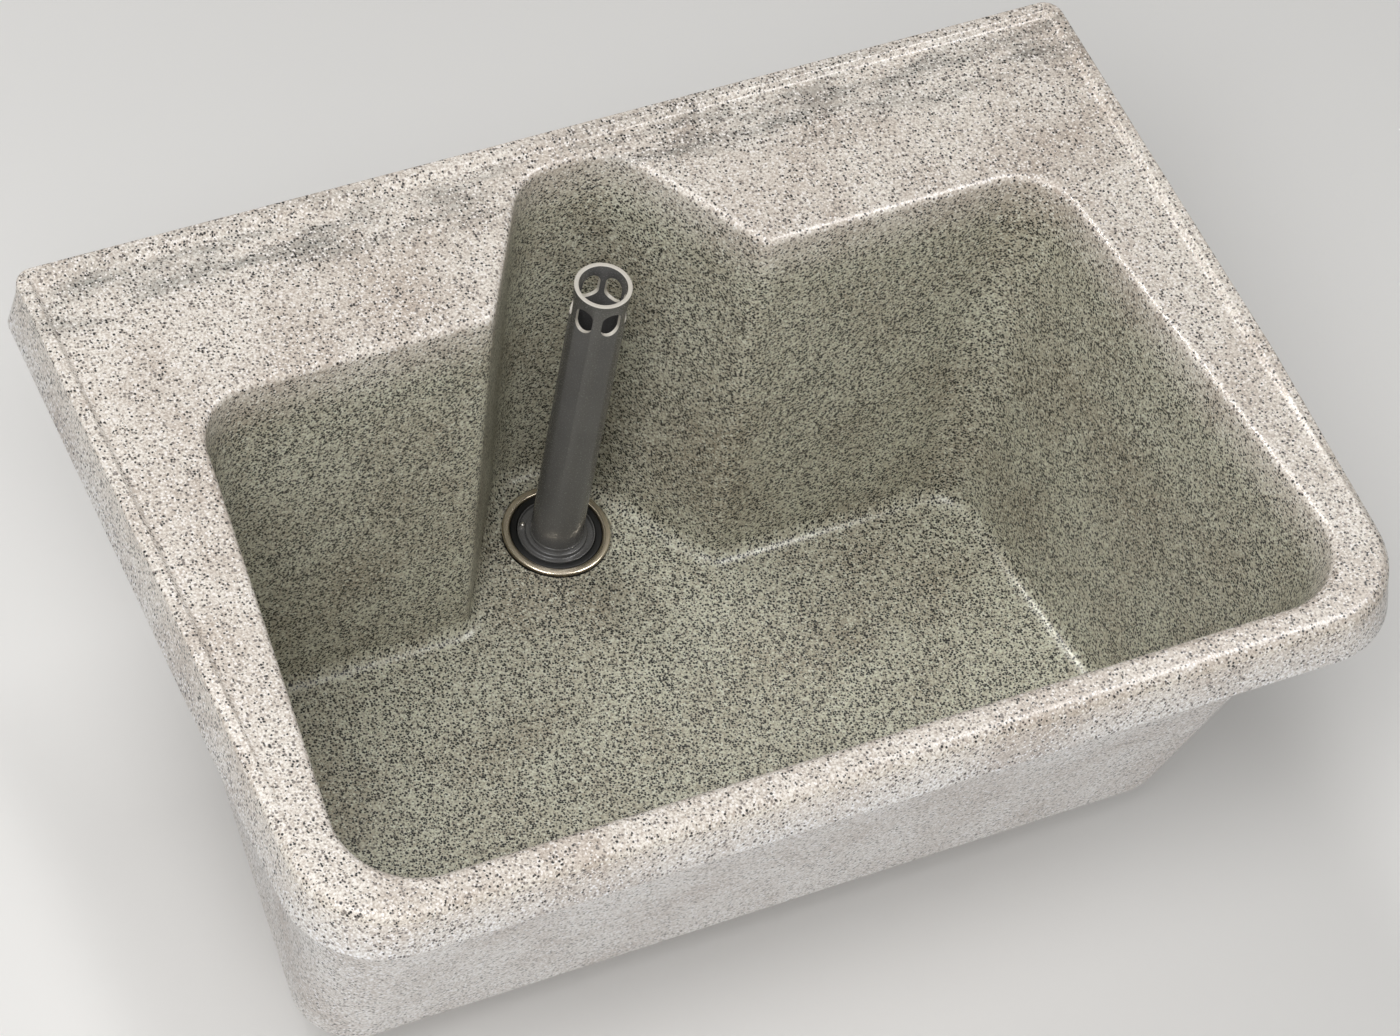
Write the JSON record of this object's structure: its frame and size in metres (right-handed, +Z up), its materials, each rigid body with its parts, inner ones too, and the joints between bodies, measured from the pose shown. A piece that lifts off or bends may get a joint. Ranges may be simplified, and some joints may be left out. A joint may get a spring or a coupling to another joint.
{
  "type": "mop service sink",
  "caption": "Wall-hung moulded composite mop sink with a rear tap ledge, raised rear bead, a deep flared bowl, and a lift-out standpipe overflow in a rear niche.",
  "frame": {"origin": "middle of the rim's flat rear face, level with the deck", "axes": "+X to the right as one faces the wall, +Y into the wall, +Z up"},
  "size_m": [0.7, 0.49, 0.3582],
  "materials": {
    "composite": "moulded resin composite, satin, pale warm grey with fine black and grey specks",
    "stainless": "polished, slightly warm",
    "seal_rubber": "matt black",
    "grey_plastic": "dark grey, satin, faint moulding lines",
    "washer_plastic": "natural white polyethylene",
    "nut_brass": "as machined"
  },
  "bodies": {
    "basin": {"sink_basin": "composite", "waste_flange": "stainless", "flange_gasket": "seal_rubber", "under_washer": "seal_rubber", "slip_washer": "washer_plastic", "backnut": "nut_brass"},
    "seal_ring": {"foot_seal": "seal_rubber"},
    "standpipe": {"standpipe_foot": "grey_plastic", "standpipe_tube": "grey_plastic", "foot_stud": "stainless"}
  },
  "joints": [
    {"name": "standpipe_lift", "type": "slide", "parent": "basin", "child": "seal_ring", "axis": [0, 0, 1], "range_m": [0, 0.32]},
    {"name": "standpipe_turn", "type": "hinge", "parent": "seal_ring", "child": "standpipe", "pos_m": [0, -0.09, -0.292], "axis": [0, 0, 1], "continuous": true}
  ]
}
